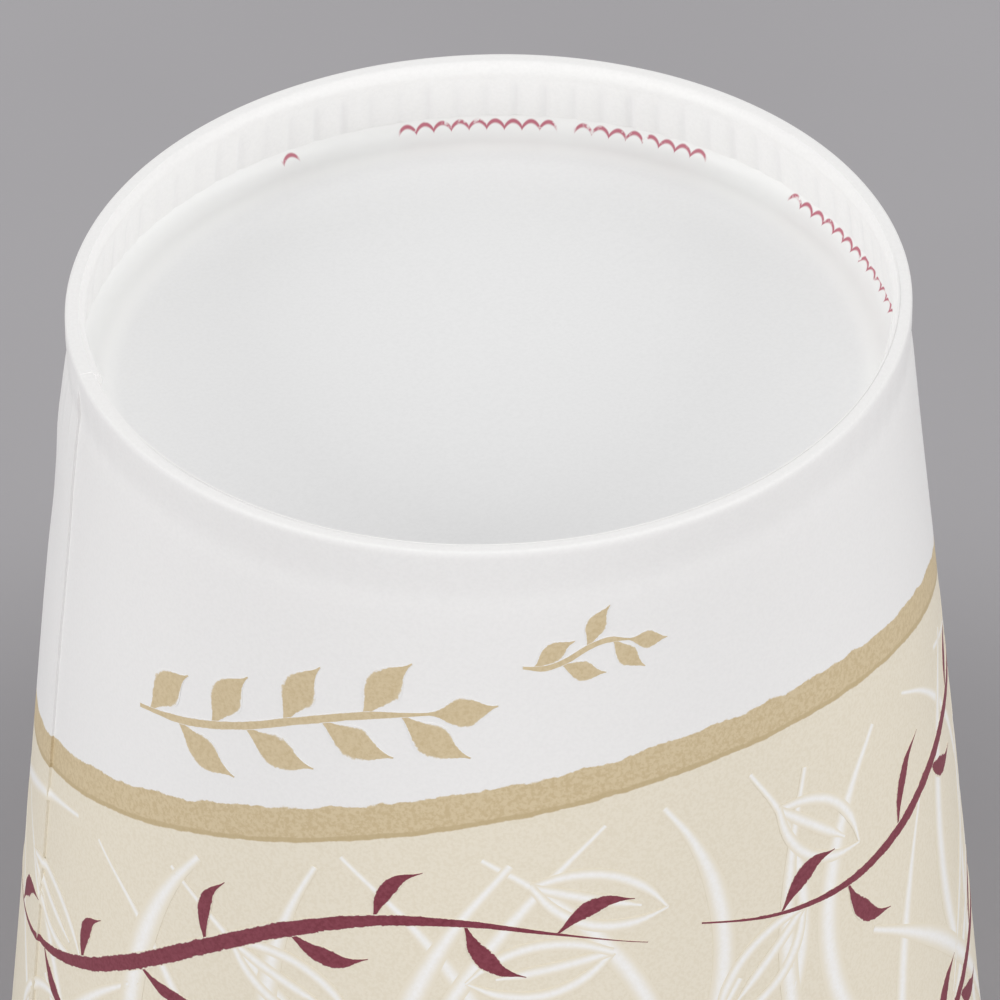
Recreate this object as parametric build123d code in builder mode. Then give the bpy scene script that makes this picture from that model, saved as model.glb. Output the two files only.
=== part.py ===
"""Small waxed paper cup, standing upside down on its rolled rim.

All sizes are in millimetres. +Z is up, the mouth faces down and its rim rests on z = 0,
and the folded base edge is the highest part. The Z axis is the cup's own axis.

The cup is two pieces of paper. The side wall is one fan-shaped blank, wrapped into a
cone, lapped at a side seam, curled outward at the mouth and turned in at the base. The
bottom disc is a round of paper whose edge is turned down into a skirt. The turned-in
hem of the side wall holds that skirt, and crimps press the three layers together.
"""

import os
from math import atan, cos, degrees, radians, sin

from build123d import *

# Wrapped side wall, measured on its outer face
cup_height = 57.0
base_radius = 21.2
mouth_radius = 27.1
paper = 0.27

# Folded base edge, with the hem turned in behind it
hem_depth = 3.6
fold_chamfer = 0.15
fold_bulge = 0.12
bulge_height = 0.9

# Band around the outside of the base, pressed in by the crimping tool
band_height = 3.1
band_depth = 0.07
band_slope = 0.5

# Crimps pressed into the inner face of the hem
crimp_count = 84
crimp_width = 0.7
crimp_depth = 0.1
crimp_margin = 0.65

# Bottom disc
bottom_paper = 0.27
shoulder_radius = 1.0
shoulder_steps = 2
shoulder_drop = 0.03

# Outward curl of the rim
rim_radius = 0.8
rim_gap = 0.04
rim_steps = 8
rim_tuck_angle = 75.0
rim_tuck_steps = 1

# Side seam: the outer end of the blank laps over the inner one, up to seam_edge_angle
seam_edge_angle = -163.5
seam_width = 7.0
seam_ramp = 1.4

# Worked out from the sizes above
taper = (mouth_radius - base_radius) / cup_height
wall_tilt = degrees(atan(taper))
tilt_sine = sin(radians(wall_tilt))
tilt_cosine = cos(radians(wall_tilt))
wall_layer = paper / tilt_cosine
skirt_layer = bottom_paper / tilt_cosine
hem_outer = wall_layer + skirt_layer
hem_inner = hem_outer + wall_layer
hem_edge = cup_height - hem_depth
fold_under = cup_height - paper
bulge_foot = cup_height - bulge_height
band_foot = cup_height - band_height


def wall_face(height, inset=0.0):
    """Radius of the wall's outer face at a height, or of a face that lies inset behind it."""
    return base_radius + taper * (cup_height - height) - inset


def arc_points(centre, radius, start_angle, arc_size, steps):
    """Points along an arc, so that a small bend of the paper is a few straight steps."""
    angles = [radians(start_angle + arc_size * i / steps) for i in range(steps + 1)]
    return [(centre[0] + radius * cos(a), centre[1] + radius * sin(a)) for a in angles]


# The rim curl is tangent to the wall, and its loose end tucks in below the first turn.
# Its third step lies flat, so that the cup rests on it.
rim_step = (90 - wall_tilt) / 2.5
rim_end_angle = 180 + wall_tilt + rim_steps * rim_step - 360
curl_radius = (rim_radius - paper / 2) / cos(radians(rim_step / 2))
curl_start_height = rim_radius - curl_radius * tilt_sine
curl_start_radius = wall_face(curl_start_height, wall_layer / 2)
curl_centre = (curl_start_radius + curl_radius * tilt_cosine, rim_radius)
tuck_radius = curl_radius - paper - rim_gap
tuck_centre = (
    curl_centre[0] + (curl_radius - tuck_radius) * cos(radians(rim_end_angle)),
    curl_centre[1] + (curl_radius - tuck_radius) * sin(radians(rim_end_angle)),
)
end_rise = paper / 2 * tilt_sine
end_reach = paper / 2 * tilt_cosine

with BuildSketch(Plane.XZ) as wall_section:
    with BuildLine():
        Polyline(
            (curl_start_radius + end_reach, curl_start_height + end_rise),
            (wall_face(band_foot - band_slope), band_foot - band_slope),
            (wall_face(band_foot, band_depth), band_foot),
            (wall_face(bulge_foot, band_depth), bulge_foot),
            (wall_face(cup_height) + fold_bulge, cup_height),
            (wall_face(cup_height, hem_inner), cup_height),
            (wall_face(hem_edge, hem_inner), hem_edge),
            (wall_face(hem_edge, hem_outer), hem_edge),
            (wall_face(fold_under, hem_outer), fold_under),
            (wall_face(fold_under, wall_layer), fold_under),
            (curl_start_radius - end_reach, curl_start_height - end_rise),
            close=True,
        )
    make_face()
    chamfer(wall_section.vertices().group_by(Axis.Y)[-1], fold_chamfer)
    with BuildLine() as curl:
        Polyline(
            (wall_face(rim_radius, wall_layer / 2), rim_radius),
            *arc_points(curl_centre, curl_radius, 180 + wall_tilt, rim_steps * rim_step, rim_steps),
            *arc_points(tuck_centre, tuck_radius, rim_end_angle, rim_tuck_angle, rim_tuck_steps)[1:],
        )
    trace(curl.line, paper)

# The lap is a second layer on the wall, the fold and the hem, pressed level at the fold
seam_angle = degrees(seam_width / base_radius)
ramp_angle = degrees(seam_ramp / base_radius)
seam_back_angle = seam_edge_angle - seam_angle
lap_foot = 2 * rim_radius
lap_head = cup_height - fold_chamfer


def upright_plane(angle):
    """Plane through the cup's axis, with its X axis pointing out at an angle about Z."""
    return Plane.XZ.rotated((0, 0, angle))


def lap_section(angle, lap_layer):
    """Section of the lap, with its outer face lap_layer in front of the wall's."""
    with BuildSketch(upright_plane(angle)) as section:
        with BuildLine():
            Polyline(
                (wall_face(lap_foot) + lap_layer, lap_foot),
                (wall_face(lap_head) + lap_layer, lap_head),
                (wall_face(cup_height, wall_layer / 2), cup_height),
                (wall_face(lap_foot, wall_layer / 2), lap_foot),
                close=True,
            )
        make_face()
    return section.sketch


# The seam shows on the hem too, as a step on its inner face
with BuildSketch(upright_plane(seam_back_angle)) as hem_lap_section:
    with BuildLine():
        Polyline(
            (wall_face(lap_head, hem_inner), lap_head),
            (wall_face(lap_head - wall_layer, hem_inner + wall_layer), lap_head - wall_layer),
            (wall_face(hem_edge, hem_inner + wall_layer), hem_edge),
            (wall_face(hem_edge, hem_inner - wall_layer / 2), hem_edge),
            (wall_face(lap_head, hem_inner - wall_layer / 2), lap_head),
            close=True,
        )
    make_face()

# Each crimp is a shallow groove that runs down the hem's inner face and out at its edge
crimp_head = cup_height - crimp_margin

with BuildPart() as crimp_tool:
    with BuildSketch():
        with BuildLine():
            Polyline(
                (crimp_depth, 0), (-crimp_depth, crimp_width), (-crimp_depth, -crimp_width), close=True
            )
        make_face()
    extrude(amount=-hem_depth)

lap_back = lap_section(seam_back_angle, wall_layer)
lap_ramp = lap_section(seam_back_angle - ramp_angle, 0.0)

with BuildPart() as sidewall:
    add(wall_section.sketch)
    revolve(axis=Axis.Z)
    with Locations((0, 0, crimp_head)):
        with PolarLocations(wall_face(crimp_head, hem_inner), crimp_count):
            add(crimp_tool.part, rotation=(0, -wall_tilt, 0), mode=Mode.SUBTRACT)
    add(lap_back)
    revolve(axis=Axis.Z, revolution_arc=seam_angle)
    add([lap_ramp, lap_back])
    loft(ruled=True)
    add(hem_lap_section.sketch)
    revolve(axis=Axis.Z, revolution_arc=seam_angle)
sidewall.part.label = "sidewall"

# The disc's panel lies below the hem, and its rounded shoulder starts just below the hem's edge
shoulder_head = hem_edge - shoulder_drop
panel_top = shoulder_head - shoulder_radius * (1 + tilt_sine)
skirt_middle = wall_layer + skirt_layer / 2
bend_radius = shoulder_radius + bottom_paper / 2
bend_centre = (
    wall_face(shoulder_head, hem_outer) - shoulder_radius * tilt_cosine,
    panel_top + shoulder_radius,
)
skirt_head = fold_under - bottom_paper / 2 * tilt_sine

with BuildSketch(Plane.XZ) as disc_section:
    with BuildLine() as disc_line:
        Polyline(
            (0, panel_top - bottom_paper / 2),
            *arc_points(bend_centre, bend_radius, -90, 90 + wall_tilt, shoulder_steps),
            (wall_face(skirt_head, skirt_middle), skirt_head),
        )
    trace(disc_line.line, bottom_paper)

with BuildPart() as bottom_disc:
    add(disc_section.sketch)
    revolve(axis=Axis.Z)
bottom_disc.part.label = "bottom_disc"

os.makedirs("parts", exist_ok=True)
export_step(sidewall.part, "parts/sidewall.step")
export_step(bottom_disc.part, "parts/bottom_disc.step")
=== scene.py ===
"""Looks of a small waxed paper cup that stands upside down on its rolled rim.

Lengths are in millimetres until a mesh is made, which is then in metres. +Z is up, the
mouth faces down, and azimuths are in degrees about +Z from +X, with -Y towards the camera.
"""

import math

import bmesh
import bpy
import numpy as np
from mathutils import Matrix, Vector


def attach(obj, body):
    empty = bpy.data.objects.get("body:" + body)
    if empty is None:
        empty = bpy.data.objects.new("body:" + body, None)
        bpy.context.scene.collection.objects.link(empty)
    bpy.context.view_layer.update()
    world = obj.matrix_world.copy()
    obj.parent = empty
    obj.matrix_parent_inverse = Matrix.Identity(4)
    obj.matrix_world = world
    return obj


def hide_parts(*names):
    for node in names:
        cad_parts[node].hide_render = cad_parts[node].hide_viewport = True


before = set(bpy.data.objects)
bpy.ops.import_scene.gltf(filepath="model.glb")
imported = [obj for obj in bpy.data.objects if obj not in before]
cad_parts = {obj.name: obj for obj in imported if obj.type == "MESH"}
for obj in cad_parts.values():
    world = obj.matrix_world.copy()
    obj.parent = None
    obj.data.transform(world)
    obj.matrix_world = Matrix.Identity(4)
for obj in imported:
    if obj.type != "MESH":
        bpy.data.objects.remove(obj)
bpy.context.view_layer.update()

MM = 0.001

# The CAD model's own sizes
CUP_HEIGHT = 57.0
BASE_RADIUS = 21.2
MOUTH_RADIUS = 27.1
PAPER = 0.27
HEM_DEPTH = 3.6
FOLD_BULGE = 0.12
BAND_HEIGHT = 3.1
BAND_DEPTH = 0.07
CRIMP_COUNT = 84
CRIMP_DEPTH = 0.1
CRIMP_MARGIN = 0.65
SHOULDER_RADIUS = 1.0
SHOULDER_DROP = 0.03
RIM_RADIUS = 0.8
RIM_GAP = 0.04
SEAM_EDGE = -163.5
SEAM_WIDTH = 7.0
SEAM_RAMP = 1.4

TAPER = (MOUTH_RADIUS - BASE_RADIUS) / CUP_HEIGHT
TILT = math.atan(TAPER)
LAYER = PAPER / math.cos(TILT)
HEM_OUTER = 2 * LAYER
HEM_INNER = 3 * LAYER
HEM_EDGE = CUP_HEIGHT - HEM_DEPTH
FOLD_UNDER = CUP_HEIGHT - PAPER
SEAM_ANGLE = math.degrees(SEAM_WIDTH / BASE_RADIUS)
RAMP_ANGLE = math.degrees(SEAM_RAMP / BASE_RADIUS)
SEAM_BACK = SEAM_EDGE - SEAM_ANGLE

# The folded base edge is slightly out of level, low on the seam's side. It is level with
# the CAD model where x is SLOPE_PIVOT, and the slope fades out down to SLOPE_FOOT.
BASE_SLOPE = 0.0154
SLOPE_FOOT = 30.0
SLOPE_PIVOT = MOUTH_RADIUS * 0.79

# The wall stands slightly to the right of the cup's axis between the rim and the base
SIDE_SWAY = 0.07
SWAY_HEAD = (50.0, 20.0)
SWAY_FOOT = (3.0, 12.0)

# The wall is drawn in a little just below the base, by the tool that pressed the band
WAIST = 0.06
WAIST_FOOT = (38.0, 50.0)
WAIST_HEAD = (54.0, 56.8)

# Gentle waves of the whole wall, which fade out towards the rim and the base
WALL_WAVE = (11, (2, 3, 5, 8), 0.06)
WALL_WAVE_FOOT = (5, 25)
WALL_WAVE_HEAD = (46, 56)

# The base ring flares a little more than the CAD model's at the sides, most on the far side,
# and less than it on the near side
RING_SPREAD = 0.04
FLARE_FOOT = 54.2
FLARE_HEAD = 56.9
NEAR_EASE = 0.7
FAR_GAIN = 0.4

# The lap's step, which fades out above the rim's roll
LAP_STEP = 0.13
LAP_FADE = (1.1, 2.4)

# Dents and swellings of the wall beside the seam: size, height, and reach up and down
SEAM_DENTS = ((-0.09, 54.2, 1.2), (-0.06, 44.2, 2.5), (0.09, 49.6, 1.5))
DENT_TURN = 14.0
CREASE = 0.03
CREASE_RATE = 3.6
CREASE_AT = 6.0
CREASE_TURN = 8.0
CREASE_FOOT = (49.0, 52.0)
CREASE_HEAD = (55.0, 56.2)


def wall_radius(z):
    """Radius of the wall's outer face at a height."""
    return BASE_RADIUS + TAPER * (CUP_HEIGHT - z)


# The bottom disc's rounded shoulder, whose centre line is a ring of this height and radius
SHOULDER_HEAD = HEM_EDGE - SHOULDER_DROP
PANEL_TOP = SHOULDER_HEAD - SHOULDER_RADIUS * (1 + math.sin(TILT))
SHOULDER_RING_Z = PANEL_TOP + SHOULDER_RADIUS
SHOULDER_RING_R = wall_radius(SHOULDER_HEAD) - HEM_OUTER - SHOULDER_RADIUS * math.cos(TILT)


def smooth(lo, hi, x):
    """Smooth step from 0 at lo to 1 at hi."""
    t = np.clip((x - lo) / (hi - lo), 0.0, 1.0)
    return t * t * (3.0 - 2.0 * t)


def lean(points):
    """Let the base edge drop towards the seam, as on the cup in the photo."""
    x, z = points[:, 0].copy(), points[:, 2].copy()
    points[:, 0] = x + SIDE_SWAY * smooth(*SWAY_HEAD, z) * smooth(*SWAY_FOOT, z)
    points[:, 2] = z - BASE_SLOPE * (SLOPE_PIVOT - x) * smooth(SLOPE_FOOT, CUP_HEIGHT, z)
    return points


def waves(azimuth, seed, orders, size):
    """A gentle irregularity round the cup: a few sines with fixed, unrelated phases."""
    rng = np.random.default_rng(seed)
    total = np.zeros_like(azimuth)
    for order in orders:
        total += rng.uniform(0.4, 1.0) * np.sin(order * np.radians(azimuth) + rng.uniform(0, 6.28))
    return size * total / len(orders)


def seam_dents(azimuth, z):
    """Unevenness beside the seam: drawn in under the fold, swollen below that, and creased."""
    turn = (azimuth + 360.0) % 360.0 - 180.0
    dents = sum(size * np.exp(-((z - at) / reach) ** 2) for size, at, reach in SEAM_DENTS)
    creases = CREASE * np.sin(CREASE_RATE * azimuth) * np.exp(-((turn - CREASE_AT) / CREASE_TURN) ** 2)
    creases = creases * smooth(*CREASE_FOOT, z) * (1 - smooth(*CREASE_HEAD, z))
    return np.exp(-(turn / DENT_TURN) ** 2) * dents + creases


def wall_ease(azimuth, z):
    """How far the paper stands out from the CAD model's wall, by azimuth and height."""
    wave = waves(azimuth, *WALL_WAVE) * smooth(*WALL_WAVE_FOOT, z) * (1 - smooth(*WALL_WAVE_HEAD, z))
    waist = WAIST * smooth(*WAIST_FOOT, z) * (1 - smooth(*WAIST_HEAD, z))
    return wave - waist + seam_dents(azimuth, z)


def seam_share(azimuth):
    """1 on the lap, 0 elsewhere: sharp at its outer cut edge, and soft at its back."""
    turn = (azimuth - SEAM_BACK) % 360.0
    turn = np.where(turn > 180, turn - 360, turn)
    on_lap = (turn > -RAMP_ANGLE) & (turn <= SEAM_ANGLE + 1e-6)
    rise = 0.2 + 0.8 * smooth(0.3, 0.95, turn / SEAM_ANGLE)
    return np.where(on_lap, smooth(-RAMP_ANGLE, 0.0, turn) * rise, 0.0)


def make_mesh(name, points, faces, smooth_angle=None):
    """New object from points in millimetres."""
    mesh = bpy.data.meshes.new(name)
    mesh.from_pydata((np.asarray(points) * MM).tolist(), [], faces)
    mesh.update()
    mesh.shade_smooth()
    if smooth_angle is not None:
        mesh.set_sharp_from_angle(angle=math.radians(smooth_angle))
    obj = bpy.data.objects.new(name, mesh)
    bpy.context.scene.collection.objects.link(obj)
    return obj


def store(obj, name, values):
    """Keep a number for each point of the mesh, for its material to read."""
    attribute = obj.data.attributes.new(name, "FLOAT", "POINT")
    attribute.data.foreach_set("value", np.concatenate(values).astype(np.float32))


def ring_faces(rows, columns, closed_rows=True):
    """Quads of a closed grid: columns go round the cup, rows go round its section."""
    faces = []
    last = rows if closed_rows else rows - 1
    for i in range(last):
        a, b = i * columns, ((i + 1) % rows) * columns
        for j in range(columns):
            k = (j + 1) % columns
            faces.append((a + j, a + k, b + k, b + j))
    return faces


def arc(centre, radius, start, sweep, steps):
    """Points along an arc in the section's plane, in degrees."""
    angles = np.radians(start + sweep * np.arange(steps + 1) / steps)
    return [(centre[0] + radius * math.cos(a), centre[1] + radius * math.sin(a)) for a in angles]


def levels(*spans):
    """Heights of rows, from spans of a start, a stop, a count and whether the stop is in."""
    return np.concatenate([np.linspace(*span) for span in spans])


# Side wall

# Columns round each crimp, as shares of the crimps' pitch
COLUMN_SHARES = (-0.38, -0.22, -0.1, 0.0, 0.1, 0.22, 0.38)
# The lap's cut edge drops over this angle. Other columns closer to it than EDGE_CLEAR of a
# pitch are left out.
EDGE_HALF = 0.07
EDGE_CLEAR = 0.06

# Rows of the outer face above the rim, of the hem's inner face and of the inside
OUTER_FOOT = 3.0
OUTER_ROWS = (
    (OUTER_FOOT, 41.0, 11, False),
    (41.0, 53.3, 12, False),
    (53.3, 54.4, 5, False),
    (54.4, 55.4, 3, False),
    (55.4, 56.8, 7),
)
HEM_ROWS = ((56.1, 55.5, 4), (55.3, 53.9, 5), (53.7, HEM_EDGE + 0.06, 3))
INSIDE_ROWS = ((55.5, 50.0, 3), (44.0, 3.0, 8))
INSIDE_FOOT = 2.2

# The pressed band's lower edge is uneven and soft, and the crimps show faintly through it
BAND_WAVE = (5, (3, 7, 12), 0.16)
BAND_SOFT = (-0.9, 0.7)
PRESS = 0.012
PRESS_FOOT = (53.6, 54.2)
PRESS_HEAD = (55.9, 56.3)
# The lap's step fades out below the fold, which presses it level
LAP_HEAD = (55.2, 56.5)

# The fold: its roundings reach in from each side and drop from its crown, and a fine groove
# runs between them, deepest at GROOVE_AZIMUTH
CROWN = CUP_HEIGHT - 0.012
OUTER_REACH, OUTER_DROP = 0.15, 0.17
INNER_REACH, INNER_DROP = 0.42, 0.8
GROOVE_AT, GROOVE_HALF, GROOVE_DEPTH = 0.58, 0.05, 0.04
GROOVE_AZIMUTH = -70.0
TOP_REACH = 0.68
TOP_BOW = 0.012
TOP_WAVE = (23, (4, 9, 15), 0.02)
LAP_RISE = 0.03

# The crimps' width as a share of their pitch, and how deep the faint and the deep ones are
CRIMP_SHARE = 0.14
CRIMP_STRENGTH = (0.35, 1.1)
CRIMP_SEED = 4
# The hem's own lap fades out at the fold, and its face and its cut edge are slightly wavy
HEM_LAP_HEAD = (56.1, 56.7)
HEM_WAVE = 0.02
HEM_WAVE_RATE = 0.31
EDGE_WAVE = (8, (6, 11, 17, 29), 0.035)


def wall_azimuths():
    """Columns of the side wall, with a close pair at the seam's cut edge for a crisp step."""
    pitch = 360.0 / CRIMP_COUNT
    plain = (pitch * (np.arange(CRIMP_COUNT)[:, None] + np.array(COLUMN_SHARES)) - 180.0).ravel()
    plain = plain[np.abs(plain - SEAM_EDGE) > EDGE_CLEAR * pitch]
    extra = [SEAM_EDGE + k * EDGE_HALF for k in (-4, 0, 1, 4)]
    return np.sort(np.concatenate([plain, extra]))


def make_sidewall():
    azimuth = wall_azimuths()
    count = len(azimuth)
    lap = seam_share(azimuth)
    away = np.sin(np.radians(azimuth))
    spread = 1 - NEAR_EASE * np.clip(-away, 0, 1) + FAR_GAIN * np.clip(away, 0, 1) ** 3
    spread = spread * (BAND_DEPTH + FOLD_BULGE + RING_SPREAD)
    rows, crimp_shade, printed = [], [], []

    def full(value):
        return np.broadcast_to(value, count).astype(float)

    def add(z, radius, crimp=0.0, outer_face=0.0):
        rows.append((full(z), full(radius)))
        crimp_shade.append(full(crimp))
        printed.append(full(outer_face))

    # Outer face, from the curl's root up to the fold
    middle = RIM_RADIUS - PAPER / 2
    root_z = RIM_RADIUS - middle * math.sin(TILT)
    root_r = wall_radius(root_z) - LAYER / 2
    root_rise = PAPER / 2 * math.sin(TILT)
    band_edge = CUP_HEIGHT - BAND_HEIGHT + waves(azimuth, *BAND_WAVE)
    crimp_turn = np.cos(CRIMP_COUNT * np.radians(azimuth) + 1.0)
    for z in levels((root_z + root_rise, OUTER_FOOT, 6, False), *OUTER_ROWS):
        band = BAND_DEPTH * smooth(*BAND_SOFT, z - band_edge)
        flare = spread * smooth(FLARE_FOOT, FLARE_HEAD, z)
        press = PRESS * crimp_turn * smooth(*PRESS_FOOT, z) * (1 - smooth(*PRESS_HEAD, z))
        thick = lap * LAP_STEP * smooth(*LAP_FADE, z) * (1 - smooth(*LAP_HEAD, z))
        radius = wall_radius(z) - band + flare + press + thick + wall_ease(azimuth, z)
        add(z, radius, outer_face=1.0)

    # The fold: round outside, nearly flat on top, round inside
    outer = wall_radius(CUP_HEIGHT) - BAND_DEPTH + spread
    inner = wall_radius(CUP_HEIGHT) - HEM_INNER
    top_wave = np.minimum(waves(azimuth, *TOP_WAVE), 0)
    lap_rise = LAP_RISE * lap
    groove_share = smooth(0.0, 0.5, np.cos(np.radians(azimuth - GROOVE_AZIMUTH)))
    for angle in (8, 26, 44, 62, 78):
        a = math.radians(angle)
        add(CROWN - OUTER_DROP * (1 - math.sin(a)) + top_wave + lap_rise * math.sin(a),
            outer - OUTER_REACH * (1 - math.cos(a)))
    groove_insets = (GROOVE_AT - GROOVE_HALF, GROOVE_AT, GROOVE_AT + GROOVE_HALF)
    for inset in (OUTER_REACH, 0.36, *groove_insets, TOP_REACH):
        dip = GROOVE_DEPTH * groove_share if inset == GROOVE_AT else 0.0
        bow = TOP_BOW * math.sin(math.pi * (inset - OUTER_REACH) / (TOP_REACH - OUTER_REACH))
        add(CROWN - dip + bow + top_wave + lap_rise, outer - inset)
    for angle in (86, 68, 52, 38, 24, 10):
        a = math.radians(angle)
        radius = inner + INNER_REACH * (1 - math.cos(a)) - lap * LAYER * math.cos(a) ** 2
        add(CROWN - INNER_DROP * (1 - math.sin(a)) + top_wave + lap_rise * math.sin(a) ** 2,
            np.minimum(radius, outer - TOP_REACH - 0.01))

    # Inner face of the hem, with its crimps
    place = (azimuth + 180.0) * CRIMP_COUNT / 360.0
    groove = np.exp(-(((place + 0.5) % 1.0 - 0.5) / CRIMP_SHARE) ** 2)
    strength = np.random.default_rng(CRIMP_SEED).uniform(*CRIMP_STRENGTH, CRIMP_COUNT)
    strength = np.interp(place, np.arange(CRIMP_COUNT), strength, period=CRIMP_COUNT)
    crimp_head = CUP_HEIGHT - CRIMP_MARGIN
    hem_lap = lap * LAYER
    for z in levels(*HEM_ROWS):
        run = 1 - smooth(crimp_head - 1.1, crimp_head - 0.3, z)
        cut = CRIMP_DEPTH * groove * run * strength
        thick = hem_lap * (1 - smooth(*HEM_LAP_HEAD, z))
        wave = HEM_WAVE * np.sin(azimuth * HEM_WAVE_RATE) * run
        add(z, wall_radius(z) - HEM_INNER + cut - thick + wave, groove * run * strength)
    # Its cut edge, and the pocket that holds the disc's skirt
    edge = HEM_EDGE + np.maximum(waves(azimuth, *EDGE_WAVE), 0)
    edge_outer = wall_radius(HEM_EDGE) - HEM_OUTER
    edge_inner = wall_radius(HEM_EDGE) - HEM_INNER
    cut = CRIMP_DEPTH * groove * strength
    add(edge + 0.03, edge_inner + 0.03 - hem_lap + cut)
    add(edge, edge_inner + 0.09 - hem_lap * 0.9 + cut * 0.6)
    add(edge, edge_outer - 0.03)
    add(edge + 0.05, edge_outer)
    add(FOLD_UNDER, wall_radius(FOLD_UNDER) - HEM_OUTER)
    add(FOLD_UNDER, wall_radius(FOLD_UNDER) - LAYER)
    # Inner face of the wall
    for z in levels(*INSIDE_ROWS, (INSIDE_FOOT, root_z - root_rise, 3, False)):
        add(z, wall_radius(z) - LAYER + wall_ease(azimuth, z))

    # The rolled rim: a full turn, and a loose end tucked in below it
    centre = (root_r + middle * math.cos(TILT), RIM_RADIUS)
    tilt = math.degrees(TILT)
    roll = 270 - tilt
    tuck = middle - PAPER - RIM_GAP
    tuck_centre = (centre[0], centre[1] + middle - tuck)
    rim = arc(centre, RIM_RADIUS, 180 + tilt, roll, 18)
    rim += arc(tuck_centre, tuck + PAPER / 2, 90, 150, 8)[1:]
    rim += arc(tuck_centre, tuck - PAPER / 2, 240, -150, 8)
    rim += arc(centre, RIM_RADIUS - PAPER, 90, -roll, 14)[1:-1]
    for r, z in rim:
        add(z, r)

    angle = np.radians(azimuth)
    points = [np.stack([r * np.cos(angle), r * np.sin(angle), z], 1) for z, r in rows]
    faces = [f[::-1] for f in ring_faces(len(rows), count)]
    obj = make_mesh("paper_sidewall", lean(np.concatenate(points)), faces, smooth_angle=38)
    # Weight of the crimps' grooves, which the paper's material darkens as painted shade
    store(obj, "crimp", crimp_shade)
    store(obj, "outer_face", printed)
    return obj


# Bottom disc

DISC_COLUMNS = 360
SHOULDER_ROWS = 11
DISC_SAG = 0.12
DISC_WAVE = (31, (2, 3, 5), 0.05)
PUCKER_WAVE = (77, (31, 47, 63, 84), 0.03)


def make_bottom_disc():
    azimuth = -180 + 360.0 * np.arange(DISC_COLUMNS) / DISC_COLUMNS
    angle = np.radians(azimuth)
    radii = [*np.linspace(0.4, 17.0, 18), *np.linspace(17.6, SHOULDER_RING_R, 8)]
    sag_wave = waves(azimuth, *DISC_WAVE)
    pucker = waves(azimuth, *PUCKER_WAVE)
    rows = []

    def add(z, radius):
        rows.append((z + 0 * angle, radius + 0 * angle))

    def sag(r):
        """The panel sags a little towards its middle, and is pressed flat near its edge."""
        wave = sag_wave * smooth(2, 10, r) * (1 - smooth(14, 19, r))
        return -DISC_SAG * (1 - smooth(6.0, 19.0, r)) + wave

    def shoulder(k, radius):
        """Row k of the shoulder, from the panel's edge up to the skirt."""
        a = math.radians(-90 + (90 + math.degrees(TILT)) * k / SHOULDER_ROWS)
        add(SHOULDER_RING_Z + radius * math.sin(a), SHOULDER_RING_R + radius * math.cos(a))

    for r in radii:
        add(PANEL_TOP + sag(r), r)
    for k in range(1, SHOULDER_ROWS + 1):
        shoulder(k, SHOULDER_RADIUS + pucker * math.sin(math.pi * k / SHOULDER_ROWS))
    skirt_top = FOLD_UNDER - 0.02
    add(skirt_top, wall_radius(skirt_top) - HEM_OUTER)
    add(skirt_top, wall_radius(skirt_top) - LAYER)
    add(SHOULDER_HEAD, wall_radius(SHOULDER_HEAD) - LAYER)
    for k in range(SHOULDER_ROWS, 0, -1):
        shoulder(k, SHOULDER_RADIUS + PAPER)
    for r in radii[::-1]:
        add(PANEL_TOP - PAPER + sag(r), r)

    points = [np.stack([r * np.cos(angle), r * np.sin(angle), z], 1) for z, r in rows]
    caps = np.array([[0, 0, PANEL_TOP - DISC_SAG], [0, 0, PANEL_TOP - PAPER - DISC_SAG]])
    faces = ring_faces(len(rows), DISC_COLUMNS, closed_rows=False)
    count = len(rows) * DISC_COLUMNS
    last = count - DISC_COLUMNS
    for j in range(DISC_COLUMNS):
        k = (j + 1) % DISC_COLUMNS
        faces.append((count, k, j))
        faces.append((count + 1, last + j, last + k))
    points = lean(np.concatenate(points + [caps]))
    return make_mesh("paper_bottom_disc", points, [f[::-1] for f in faces], smooth_angle=50)


# Printed ornament

# The gold band's lower edge is GOLD_DEPTH below the base at the azimuth GOLD_TURN, where it
# is highest, and runs down to twice GOLD_SWING below that on the other side
GOLD_DEPTH = 14.6
GOLD_SWING = 8.2
GOLD_TURN = -55.0

# Ink stands a few thousandths of a millimetre in front of the paper, one layer over another
ARC_LIFT = 0.004
LIFT_STEP = 0.0015
ARC_LAYERS = 11
OUTLINE_LIFT = 0.0225
LEAF_LIFT = 0.026
STEM_LIFT = 0.028
PRINT_SINK = 0.03

# The print is laid out on the wall unrolled at this depth below the base
REFERENCE_DEPTH = 24.0
REFERENCE_RADIUS = wall_radius(CUP_HEIGHT - REFERENCE_DEPTH)


def gold_depth(azimuth):
    """How far below the base the gold band's lower edge runs, by azimuth."""
    return GOLD_DEPTH + GOLD_SWING * (1 - np.cos(np.radians(azimuth - GOLD_TURN)))


def unroll(q):
    """Azimuth and depth of a point given as arc millimetres at the reference depth, and depth."""
    return np.degrees(q[..., 0] / REFERENCE_RADIUS), q[..., 1]


def below_band(azimuth, drop):
    """A point of the print, drop millimetres below the gold band's lower edge."""
    return math.radians(azimuth) * REFERENCE_RADIUS, float(gold_depth(azimuth)) + drop


def on_wall(azimuth, depth, lift):
    """Point on the wall's outer face, depth below the base, lift in front of it."""
    z = CUP_HEIGHT - depth
    lap = seam_share(azimuth) * LAP_STEP * smooth(*LAP_FADE, z)
    r = wall_radius(z) + lap + wall_ease(azimuth, z) + lift
    a = np.radians(azimuth)
    return np.stack([r * np.cos(a), r * np.sin(a), z], -1)


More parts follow.
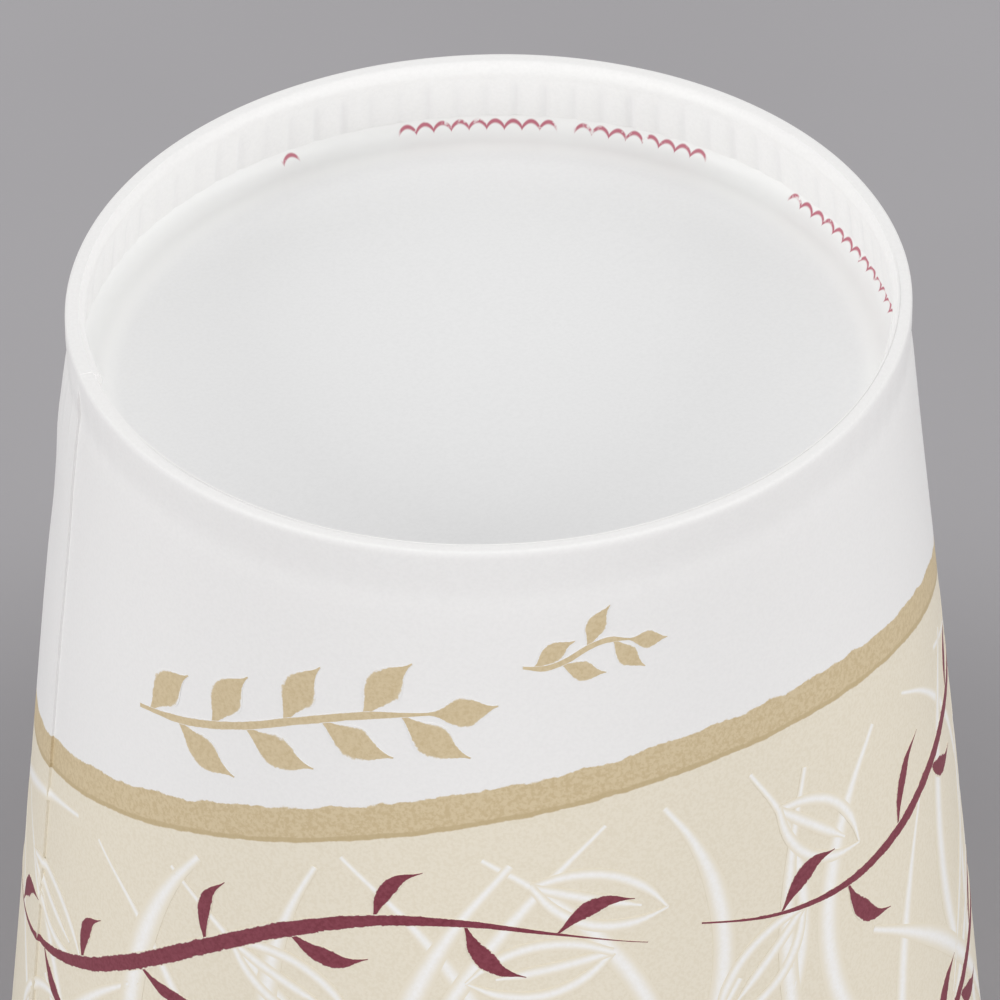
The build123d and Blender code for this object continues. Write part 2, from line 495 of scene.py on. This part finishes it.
def catmull(points, per_span):
    """Smooth open curve through points, by Catmull-Rom spans."""
    p = np.asarray(points, float)
    p = np.concatenate([[2 * p[0] - p[1]], p, [2 * p[-1] - p[-2]]])
    t = np.linspace(0, 1, per_span, endpoint=False)[:, None]
    out = []
    for i in range(1, len(p) - 2):
        a, b, c, d = p[i - 1:i + 3]
        out.append(0.5 * (2 * b + (c - a) * t + (2 * a - 5 * b + 4 * c - d) * t ** 2
                          + (3 * b - a - 3 * c + d) * t ** 3))
    out.append(p[-2][None])
    return np.concatenate(out)


def bearing(step):
    """Direction of a step on the unrolled wall, in degrees."""
    return math.degrees(math.atan2(step[1], step[0]))


def directions(heading):
    """Unit steps forward and to the side of a heading."""
    a = math.radians(heading)
    return np.array([math.cos(a), math.sin(a)]), np.array([-math.sin(a), math.cos(a)])


class Ribbons:
    """Printed strokes, as thin closed ribbons laid on the wall, joined in one mesh."""

    # Corners of a ribbon's section, in order round it: 0 to 2 in front, 3 to 5 behind
    LOOP = (0, 1, 2, 5, 4, 3)

    def __init__(self, name):
        self.name = name
        self.points, self.faces, self.across = [], [], []
        self.total = 0

    def stroke(self, path, width, start_width, end_width, full, lift, step):
        """Add a stroke along path, a list of (arc millimetres, depth) on the unrolled wall.

        Its ends are shares of its width, which it reaches over the share full of its length.
        """
        line = catmull(path, 24)
        seg = np.linalg.norm(np.diff(line, axis=0), axis=1)
        length = np.concatenate([[0], np.cumsum(seg)])
        total = length[-1]
        n = max(6, int(total / step))
        s = np.linspace(0, total, n)
        line = np.stack([np.interp(s, length, line[:, k]) for k in (0, 1)], 1)
        tangent = np.gradient(line, axis=0)
        tangent /= np.linalg.norm(tangent, axis=1)[:, None]
        normal = np.stack([-tangent[:, 1], tangent[:, 0]], 1)
        t = s / total
        profile = np.minimum(start_width + (1 - start_width) * smooth(0, full, t),
                             end_width + (1 - end_width) * smooth(0, full, 1 - t))
        half = 0.5 * width * profile
        for level in (lift, -PRINT_SINK):
            for side in (-1, 0, 1):
                azimuth, depth = unroll(line + normal * (half * side)[:, None])
                self.points.append(on_wall(azimuth, depth, level))
                self.across.append(np.full(n, float(side)))
        corners = [self.total + c * n for c in self.LOOP]
        for i in range(n - 1):
            for a, b in zip(corners, corners[1:] + corners[:1]):
                self.faces.append((a + i, b + i, b + i + 1, a + i + 1))
        self.faces.append(tuple(corners[::-1]))
        self.faces.append(tuple(c + n - 1 for c in corners))
        self.total += 6 * n

    def make(self):
        obj = make_mesh(self.name, lean(np.concatenate(self.points)), self.faces, smooth_angle=50)
        store(obj, "across", self.across)
        work = bmesh.new()
        work.from_mesh(obj.data)
        bmesh.ops.recalc_face_normals(work, faces=work.faces[:])
        work.to_mesh(obj.data)
        work.free()
        return obj


# Materials

ROUGHNESS = 0.52
COAT = 0.06
COAT_ROUGHNESS = 0.35
SPECULAR = 0.42


def srgb(red, green, blue):
    """Linear colour from an 8-bit one."""
    out = []
    for value in (red, green, blue):
        v = value / 255.0
        out.append(v / 12.92 if v <= 0.04045 else ((v + 0.055) / 1.055) ** 2.4)
    return (*out, 1.0)


PAPER_WHITE = srgb(239, 238, 237)
PAPER_SHADE = srgb(236, 235, 234)
# Painted shade for the grooves of the hem's crimps
PAPER_CRIMP_SHADE = srgb(231, 230, 230)
CREAM = srgb(234, 226, 208)
CREAM_SHADE = srgb(229, 220, 200)
GOLD = srgb(213, 195, 160)
GOLD_SPECK = srgb(201, 181, 143)
GOLD_DARK = srgb(190, 170, 130)
BURGUNDY = srgb(134, 62, 76)
BURGUNDY_DARK = srgb(116, 44, 58)
SOFT_WHITE = srgb(246, 245, 243)
SOFT_WHITE_SHADE = srgb(242, 240, 236)
DISC_WHITE = srgb(236, 236, 236)
DISC_SHADE = srgb(233, 233, 233)
# Painted light for the disc's paper near its shoulder
SHOULDER_PAINTED_LIGHT = srgb(244, 244, 243)
SCALLOP_RED = srgb(190, 108, 124)
FLOOR_GREY = srgb(164, 162, 165)
FLOOR_CLOUD = srgb(160, 158, 161)
# Painted shadow on the floor round the cup
FLOOR_PAINTED_SHADOW = srgb(148, 146, 149)

# Radii over which painted light turns the disc's paper whiter towards its shoulder, against the shade in
# the recess's corner
SHOULDER_LIGHT_FADE = (18.5, 19.7)

# The scalloped line on the shoulder: arches in a full turn, how far in from the hem's edge
# it starts, how far it reaches, half its width with its soft edge, and where it shows
SCALLOP_COUNT = 140
SCALLOP_TOP = 0.38
SCALLOP_HEIGHT = 0.40
SCALLOP_LINE = (0.05, 0.19)
SCALLOP_SPANS = ((56.4, 76.8), (79.6, 102.4), (118.1, 120.6), (0.0, 40.8))
SCALLOP_END = 0.6

# The gold band's width, how soft the print's edges are, and where it starts above the rim
GOLD_WIDTH = 2.05
PRINT_EDGE = (-0.05, 0.05)
PRINT_FOOT = (2.4, 3.0)


class Nodes:
    """Short hand for building a material's node tree."""

    def __init__(self, name):
        self.material = bpy.data.materials.new(name)
        self.material.use_nodes = True
        self.tree = self.material.node_tree
        self.tree.nodes.clear()
        out = self.tree.nodes.new("ShaderNodeOutputMaterial")
        self.shader = self.tree.nodes.new("ShaderNodeBsdfPrincipled")
        self.link(self.shader.outputs[0], out.inputs[0])

    def link(self, a, b):
        self.tree.links.new(a, b)

    def feed(self, socket, value):
        """Give a socket a fixed value or a link."""
        if isinstance(value, (tuple, float, int)):
            socket.default_value = value
        else:
            self.link(value, socket)

    def set(self, **values):
        for key, value in values.items():
            self.feed(self.shader.inputs[key.replace("_", " ")], value)

    def wax(self, colour):
        """Finish of waxed paper, printed or not."""
        self.set(Base_Color=colour, Roughness=ROUGHNESS, Coat_Weight=COAT,
                 Coat_Roughness=COAT_ROUGHNESS, Specular_IOR_Level=SPECULAR)
        return self.material

    def math(self, operation, *values):
        node = self.tree.nodes.new("ShaderNodeMath")
        node.operation = operation
        for socket, value in zip(node.inputs, values):
            self.feed(socket, value)
        return node.outputs[0]

    def add(self, a, b):
        return self.math("ADD", a, b)

    def subtract(self, a, b):
        return self.math("SUBTRACT", a, b)

    def times(self, a, *others):
        for b in others:
            a = self.math("MULTIPLY", a, b)
        return a

    def less(self, value):
        """What is left of 1."""
        return self.subtract(1.0, value)

    def distance(self, a, b):
        return self.math("SQRT", self.add(self.times(a, a), self.times(b, b)))

    def step(self, value, lo, hi):
        """Smooth step from 0 at lo to 1 at hi."""
        node = self.tree.nodes.new("ShaderNodeMapRange")
        node.interpolation_type = "SMOOTHSTEP"
        node.inputs["From Min"].default_value = lo
        node.inputs["From Max"].default_value = hi
        self.link(value, node.inputs["Value"])
        return node.outputs[0]

    def noise(self, vector, scale, detail=3.0, roughness=0.55):
        node = self.tree.nodes.new("ShaderNodeTexNoise")
        node.inputs["Scale"].default_value = scale
        node.inputs["Detail"].default_value = detail
        node.inputs["Roughness"].default_value = roughness
        self.link(vector, node.inputs["Vector"])
        return node.outputs["Fac"]

    def mix(self, factor, a, b):
        node = self.tree.nodes.new("ShaderNodeMix")
        node.data_type = "RGBA"
        sockets = {s.identifier: s for s in node.inputs}
        for key, value in (("Factor_Float", factor), ("A_Color", a), ("B_Color", b)):
            self.feed(sockets[key], value)
        return next(s for s in node.outputs if s.identifier == "Result_Color")

    def combine(self, x, y, z):
        node = self.tree.nodes.new("ShaderNodeCombineXYZ")
        for socket, value in zip(node.inputs, (x, y, z)):
            self.feed(socket, value)
        return node.outputs[0]

    def position(self):
        """Place in the object, as a vector and as x, y and z, in metres."""
        node = self.tree.nodes.new("ShaderNodeTexCoord")
        split = self.tree.nodes.new("ShaderNodeSeparateXYZ")
        self.link(node.outputs["Object"], split.inputs[0])
        return node.outputs["Object"], split.outputs

    def attribute(self, name):
        node = self.tree.nodes.new("ShaderNodeAttribute")
        node.attribute_name = name
        return node.outputs["Fac"]

    def bump(self, height, distance, strength):
        node = self.tree.nodes.new("ShaderNodeBump")
        node.inputs["Distance"].default_value = distance
        node.inputs["Strength"].default_value = strength
        self.link(height, node.inputs["Height"])
        self.link(node.outputs[0], self.shader.inputs["Normal"])


def paper_bump(n, where):
    """Fibre mottle of waxed paper: cloudy at just under 1 mm, fine at 0.2 mm."""
    cloudy = n.noise(where, 1500.0, 3.0)
    fine = n.noise(where, 5200.0, 2.0)
    n.bump(n.add(n.times(cloudy, 0.7), n.times(fine, 0.3)), 0.008 * MM, 0.6)
    return cloudy, fine


def scallops(n, x, y, z, radius):
    """Where the scalloped line shows, on the upper face of the disc's shoulder."""
    azimuth = n.math("ARCTAN2", y, x)
    arch = n.math("ABSOLUTE", n.math("SINE", n.times(azimuth, SCALLOP_COUNT / 2.0)))
    arch = n.math("POWER", arch, 0.7)
    uneven = n.noise(n.combine(n.times(azimuth, 9.0), 0.0, 0.0), 1.0, 1.0)
    # Place round the shoulder's centre line, with the base's slope taken out
    level_z = n.add(z, n.times(n.subtract(SLOPE_PIVOT * MM, x), BASE_SLOPE))
    out_r = n.subtract(radius, SHOULDER_RING_R * MM)
    out_z = n.subtract(level_z, SHOULDER_RING_Z * MM)
    bend = n.math("ARCTAN2", out_z, out_r)
    inward = n.times(n.subtract(TILT, bend), SHOULDER_RADIUS * MM)
    foot = (SCALLOP_TOP + SCALLOP_HEIGHT - 0.1) * MM
    wanted = n.subtract(foot, n.times(arch, SCALLOP_HEIGHT * MM))
    wanted = n.add(wanted, n.times(uneven, 0.2 * MM))
    off = n.math("ABSOLUTE", n.subtract(inward, wanted))
    line = n.less(n.step(off, *(MM * v for v in SCALLOP_LINE)))
    shown = None
    for lo, hi in SCALLOP_SPANS:
        starts = n.step(azimuth, math.radians(lo), math.radians(lo + SCALLOP_END))
        ends = n.step(azimuth, math.radians(hi), math.radians(hi + SCALLOP_END))
        span = n.times(starts, n.less(ends))
        shown = span if shown is None else n.add(shown, span)
    upper_face = n.math("LESS_THAN", n.distance(out_r, out_z), (SHOULDER_RADIUS + PAPER / 2) * MM)
    return n.times(line, shown, upper_face)


def disc_paper():
    """Waxed paper, with a scalloped red line printed round parts of the disc's shoulder, and painted
    light that whitens the paper towards the shoulder.
    """
    n = Nodes("bottom_waxed_paper")
    where, (x, y, z) = n.position()
    cloudy, fine = paper_bump(n, where)
    radius = n.distance(x, y)
    paper = n.mix(n.step(fine, 0.3, 0.75), DISC_WHITE, DISC_SHADE)
    # Painted light: the paper turns whiter towards the shoulder, against the shade of the recess's
    # corner
    paper = n.mix(n.step(radius, *(MM * v for v in SHOULDER_LIGHT_FADE)), paper, SHOULDER_PAINTED_LIGHT)
    mark = n.times(scallops(n, x, y, z, radius), n.step(cloudy, 0.3, 0.45))
    return n.wax(n.mix(mark, paper, SCALLOP_RED))


def printed_paper():
    """White above, a gold band, and a cream field below it, all on the outer face alone."""
    n = Nodes("printed_waxed_paper")
    where, (x, y, z) = n.position()
    azimuth = n.math("ARCTAN2", y, x)
    depth = n.times(n.subtract(CUP_HEIGHT * MM, z), 1 / MM)
    # Millimetres below the gold band's lower edge, worked out as in gold_depth()
    turned = n.math("COSINE", n.add(azimuth, math.radians(-GOLD_TURN)))
    line = n.subtract(GOLD_DEPTH + GOLD_SWING, n.times(turned, GOLD_SWING))
    below = n.subtract(depth, line)
    rough_low = n.times(n.subtract(n.noise(where, 700.0, 4.0, 0.65), 0.5), 0.35)
    rough_high = n.times(n.subtract(n.noise(where, 420.0, 5.0, 0.7), 0.5), 0.95)
    low_edge = n.add(below, rough_low)
    high_edge = n.add(n.add(below, GOLD_WIDTH), rough_high)
    _, fine = paper_bump(n, where)
    white = n.mix(n.step(fine, 0.3, 0.75), PAPER_WHITE, PAPER_SHADE)
    field = n.mix(n.step(fine, 0.38, 0.66), CREAM, CREAM_SHADE)
    speckle = n.noise(where, 4200.0, 3.0, 0.7)
    gold = n.mix(n.step(speckle, 0.40, 0.62), GOLD, GOLD_SPECK)
    under = n.step(low_edge, *PRINT_EDGE)
    edge_line = n.times(n.step(low_edge, -0.34, -0.24), n.less(under))
    gold = n.mix(n.times(edge_line, 0.7), gold, GOLD_DARK)
    colour = n.mix(n.step(high_edge, *PRINT_EDGE), white, n.mix(under, gold, field))
    # Only the outer face carries print: the mouth's roll and the inside stay white
    outside = n.step(n.attribute("outer_face"), 0.4, 0.6)
    outside = n.times(outside, n.step(z, *(MM * v for v in PRINT_FOOT)))
    # The inside is white but for painted shade, darker in the grooves of the hem's crimps
    inner = n.mix(n.times(n.attribute("crimp"), 0.6), white, PAPER_CRIMP_SHADE)
    return n.wax(n.mix(outside, inner, colour))


def ink(name, colour, dark, ground, ragged, soft):
    """Printing ink with a slightly ragged, dry edge. Where it is missing, the ground shows."""
    n = Nodes(name)
    where, _ = n.position()
    across = n.math("ABSOLUTE", n.attribute("across"))
    grain = n.noise(where, 4200.0, 4.0, 0.7)
    worn = n.noise(where, 1100.0, 3.0, 0.6)
    edge = n.add(across, n.times(n.subtract(n.add(grain, worn), 1.0), ragged))
    cover = n.less(n.step(edge, 0.96 - soft, 0.96))
    tone = n.mix(n.step(grain, 0.35, 0.7), colour, dark)
    n.bump(grain, 0.01 * MM, 0.5)
    return n.wax(n.mix(cover, ground, tone))


# The printed motifs

PRINT_SEED = 20
WHITE_ARCS = 54
# The print ends this far below the base, just above the rim
PRINT_END = CUP_HEIGHT - 4.0
PRINT_CLEAR = 0.5
# Each vine: how far below the band, how much it winds, in how many pieces, and its turn
VINES = ((8.0, 3.2, 3, -4.0), (24.0, 2.8, 4, 40.0))
VINE_WIDTH = 0.95
VINE_SHARE = 0.94
VINE_LEAVES = 9
# Where each pair of gold sprigs starts, on the two sides of the cup
SPRIG_STARTS = (-141.0, 39.0)


def leaf(ribbons, root, heading, length, width, bend):
    """A pointed leaf: a short stroke that swells in the middle and curves a little."""
    forward, side = directions(heading)
    root = np.asarray(root, float)
    path = [root + forward * length * along + side * length * bend * aside
            for along, aside in ((0.0, 0.0), (0.35, 0.45), (0.7, 0.5), (1.0, 0.0))]
    ribbons.stroke(path, width, 0.12, 0.05, full=0.5, lift=LEAF_LIFT, step=0.22)


def sprig(ribbons, first, last, drop, leaves, leaf_length, leaf_width, stem_width):
    """A stem along the band from one azimuth to another, with leaves on both sides and a tip leaf."""
    stem = [below_band(first + (last - first) * k, drop + 0.35 * math.sin(2 * math.pi * k))
            for k in np.linspace(0, 1, 6)]
    ribbons.stroke(stem, stem_width, 0.5, 0.4, full=0.2, lift=STEM_LIFT, step=0.3)
    line = catmull(stem, 12)
    for k in range(leaves):
        i = min(len(line) - 2, int((k + 0.4) / leaves * (len(line) - 1)))
        side = 1 if k % 2 else -1
        heading = bearing(line[i + 1] - line[i]) + 40 * side
        leaf(ribbons, line[i], heading, leaf_length, leaf_width, 0.12 * side)
    heading = bearing(line[-1] - line[-2])
    leaf(ribbons, line[-1], heading, leaf_length * 0.85, leaf_width * 0.9, 0.05)


def sweep(start, heading, turn, length, steps=9):
    """Path of a long arc: it starts at a point and heading, and turns steadily."""
    path = [np.asarray(start, float)]
    a = math.radians(heading)
    for _ in range(steps):
        path.append(path[-1] + np.array([math.cos(a), math.sin(a)]) * length / steps)
        a += math.radians(turn) * length / steps
    return path


def within_field(path):
    """The first part of a path that stays below the gold band and above the rim."""
    kept = []
    for x, depth in path:
        azimuth, _ = unroll(np.array([x, depth]))
        if depth > PRINT_END or depth < gold_depth(azimuth) + PRINT_CLEAR:
            break
        kept.append((x, depth))
    return kept


def leaf_outline(ribbons, root, heading, length, width):
    """A pointed leaf drawn as two thin curves and a midrib."""
    forward, side = directions(heading)
    root = np.asarray(root, float)
    for bulge, reach in ((-0.5, 1.0), (0.0, 0.8), (0.5, 1.0)):
        path = [root + forward * length * reach * k + side * width * bulge * math.sin(math.pi * k) ** 0.8
                for k in np.linspace(0, 1, 7)]
        lift = OUTLINE_LIFT + LIFT_STEP * 2 * bulge
        ribbons.stroke(path, 0.7, 0.7, 0.3, full=0.3, lift=lift, step=0.4)


def print_arcs(rng):
    """Soft white sweeping arcs and leaf outlines, all over the cream field."""
    white = Ribbons("print_white_arcs")
    for index in range(WHITE_ARCS):
        azimuth = -180.0 + 360.0 * index / WHITE_ARCS + rng.uniform(-3.0, 3.0)
        drop = rng.uniform(0.8, 3.0) if index % 3 else rng.uniform(8.0, 16.0)
        side = 1 if index % 2 else -1
        heading = 90 - side * rng.uniform(15, 75)
        turn = side * rng.uniform(1.2, 4.2)
        path = within_field(sweep(below_band(azimuth, drop), heading, turn, rng.uniform(22.0, 44.0)))
        if len(path) < 4:
            continue
        lift = ARC_LIFT + LIFT_STEP * (index % ARC_LAYERS)
        white.stroke(path, rng.uniform(0.8, 1.7), 0.35, 0.2, full=0.35, lift=lift, step=0.5)
        if index % 6 == 1:
            for k in (1, 3):
                if k < len(path) - 1:
                    leaf_outline(white, path[k], rng.uniform(0, 50) + 130 * (k == 3), 7.5, 3.0)
    return white


def print_vines(rng):
    """Burgundy vines with pointed leaves: one winds below the band, and one lower down."""
    vine = Ribbons("print_burgundy_vine")
    for drop, swell, count, shift in VINES:
        pitch = 360.0 / count
        for start in (-180.0 + shift + pitch * k for k in range(count)):
            path = []
            for t in np.linspace(0, 1, 11):
                winding = swell * math.sin(2 * math.pi * t + 0.4)
                x, depth = below_band(start + pitch * VINE_SHARE * t, drop + winding)
                path.append((x, min(depth, PRINT_END - 1.0)))
            vine.stroke(path, VINE_WIDTH, 0.12, 0.05, full=0.4, lift=STEM_LIFT, step=0.3)
            line = catmull(path, 12)
            for m, t in enumerate(np.linspace(0.1, 0.9, VINE_LEAVES)):
                i = int(t * (len(line) - 1))
                side = 1 if m % 2 else -1
                heading = bearing(line[i + 1] - line[i]) + side * rng.uniform(30, 46)
                length, width = rng.uniform(4.0, 5.4), rng.uniform(0.9, 1.3)
                leaf(vine, line[i], heading, length, width, 0.3 * side)
    return vine


def print_sprigs():
    """Gold sprigs on the white ground, which follow the band."""
    gold = Ribbons("print_gold_sprigs")
    for start in SPRIG_STARTS:
        sprig(gold, start, start + 43.0, -7.3, 8, 4.3, 2.1, 0.5)
        sprig(gold, start + 55.0, start + 69.0, -9.0, 4, 2.6, 1.25, 0.36)
    return gold


def make_print():
    rng = np.random.default_rng(PRINT_SEED)
    pieces = []
    for ribbons, material in (
        (print_arcs(rng), ink("ink_soft_white", SOFT_WHITE, SOFT_WHITE_SHADE, CREAM, 0.12, 0.95)),
        (print_vines(rng), ink("ink_burgundy", BURGUNDY, BURGUNDY_DARK, CREAM, 0.5, 0.12)),
        (print_sprigs(), ink("ink_gold", GOLD, GOLD_SPECK, PAPER_WHITE, 0.35, 0.15)),
    ):
        piece = ribbons.make()
        piece.data.materials.append(material)
        pieces.append(piece)
    return pieces


# Making

sidewall = make_sidewall()
sidewall.data.materials.append(printed_paper())
bottom_disc = make_bottom_disc()
bottom_disc.data.materials.append(disc_paper())

for piece, node, slot in (
    (sidewall, "sidewall", "sidewall_paper"),
    (bottom_disc, "bottom_disc", "bottom_paper"),
):
    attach(piece, "root")
    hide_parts(node)

for piece in make_print():
    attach(piece, "root")

# Camera, floor and light

# Fitted to the photo: the base ring's radius is the unit, and its centre the origin
RING_RADIUS = 21.32
CAMERA_ELEVATION = 0.63104972
CAMERA_DISTANCE = 19.416
CAMERA_FOCAL = 8201.8
CAMERA_TURN = (0.00119565, 0.02513007, 0.00936338)
IMAGE_SIZE = 1000.0
SENSOR_WIDTH = 36.0

# The floor runs back and then bends up: half its width, how far it goes, and its rise, in metres
FLOOR_HALF = 1.6
FLOOR_REACH = 1.2
FLOOR_RISE = 0.9
FLOOR_BEND = 0.25
FLOOR_STEPS = 16
# Painted shadow: the floor is a little darker round the cup, which widens its soft shadow
FLOOR_SHADOW_FADE = (36.0, 64.0)

LAMP_TARGET = (0.0, 0.0, 0.04)
LAMP_SIZE = 0.5
LAMPS = (
    ("left", (-0.82, -0.50, 0.27), 4.35),
    ("right", (0.82, -0.50, 0.27), 4.35),
    ("back", (0.0, 0.80, 0.35), 1.2),
    ("top", (0.0, 0.22, 0.85), 1.4),
)
WORLD_STRENGTH = 0.58


def place_camera():
    place = np.array([0.0, -math.cos(CAMERA_ELEVATION), math.sin(CAMERA_ELEVATION)]) * CAMERA_DISTANCE
    forward = -place / np.linalg.norm(place)
    right = np.array([1.0, 0.0, 0.0])
    yaw, pitch, roll = CAMERA_TURN
    turn = Matrix.Rotation(roll, 3, "Z") @ Matrix.Rotation(pitch, 3, "X") @ Matrix.Rotation(yaw, 3, "Y")
    rows = turn @ Matrix([right, np.cross(right, forward), -forward])
    ring_centre = Vector((0, 0, (CUP_HEIGHT - BASE_SLOPE * SLOPE_PIVOT) * MM))
    camera_data = bpy.data.cameras.new("camera")
    camera = bpy.data.objects.new("camera", camera_data)
    bpy.context.scene.collection.objects.link(camera)
    matrix = rows.transposed().to_4x4()
    matrix.translation = Vector(place * RING_RADIUS * MM) + ring_centre
    camera.matrix_world = matrix
    camera_data.sensor_width = SENSOR_WIDTH
    camera_data.lens = CAMERA_FOCAL * SENSOR_WIDTH / IMAGE_SIZE
    camera_data.clip_start = 0.01
    camera_data.clip_end = 20.0
    bpy.context.scene.camera = camera


def make_floor():
    bend = arc((FLOOR_REACH - FLOOR_BEND, FLOOR_BEND), FLOOR_BEND, -90, 90, FLOOR_STEPS)
    profile = [(-FLOOR_REACH, 0.0), *bend, (FLOOR_REACH, FLOOR_RISE)]
    points = [(x, y, z) for y, z in profile for x in (-FLOOR_HALF, FLOOR_HALF)]
    faces = [(2 * i, 2 * i + 1, 2 * i + 3, 2 * i + 2) for i in range(len(profile) - 1)]
    obj = make_mesh("floor", np.array(points) / MM, faces)
    n = Nodes("floor_grey")
    where, (x, y, _) = n.position()
    grey = n.mix(n.step(n.noise(where, 14.0, 3.0), 0.3, 0.7), FLOOR_GREY, FLOOR_CLOUD)
    # Painted shadow: the floor turns darker round the cup
    near = n.step(n.distance(x, y), *(MM * v for v in FLOOR_SHADOW_FADE))
    n.set(Base_Color=n.mix(near, FLOOR_PAINTED_SHADOW, grey), Roughness=0.9)
    obj.data.materials.append(n.material)


def area_light(name, place, power):
    data = bpy.data.lights.new(name, "AREA")
    data.shape = "DISK"
    data.size = LAMP_SIZE
    data.energy = power
    light = bpy.data.objects.new(name, data)
    light.location = place
    direction = Vector(LAMP_TARGET) - Vector(place)
    light.rotation_euler = direction.to_track_quat("-Z", "Y").to_euler()
    bpy.context.scene.collection.objects.link(light)


place_camera()
make_floor()
for lamp in LAMPS:
    area_light(*lamp)

world = bpy.data.worlds.new("world")
world.use_nodes = True
background = world.node_tree.nodes["Background"]
background.inputs["Color"].default_value = (1, 1, 1, 1)
background.inputs["Strength"].default_value = WORLD_STRENGTH
bpy.context.scene.world = world
bpy.context.scene.view_settings.view_transform = "Standard"
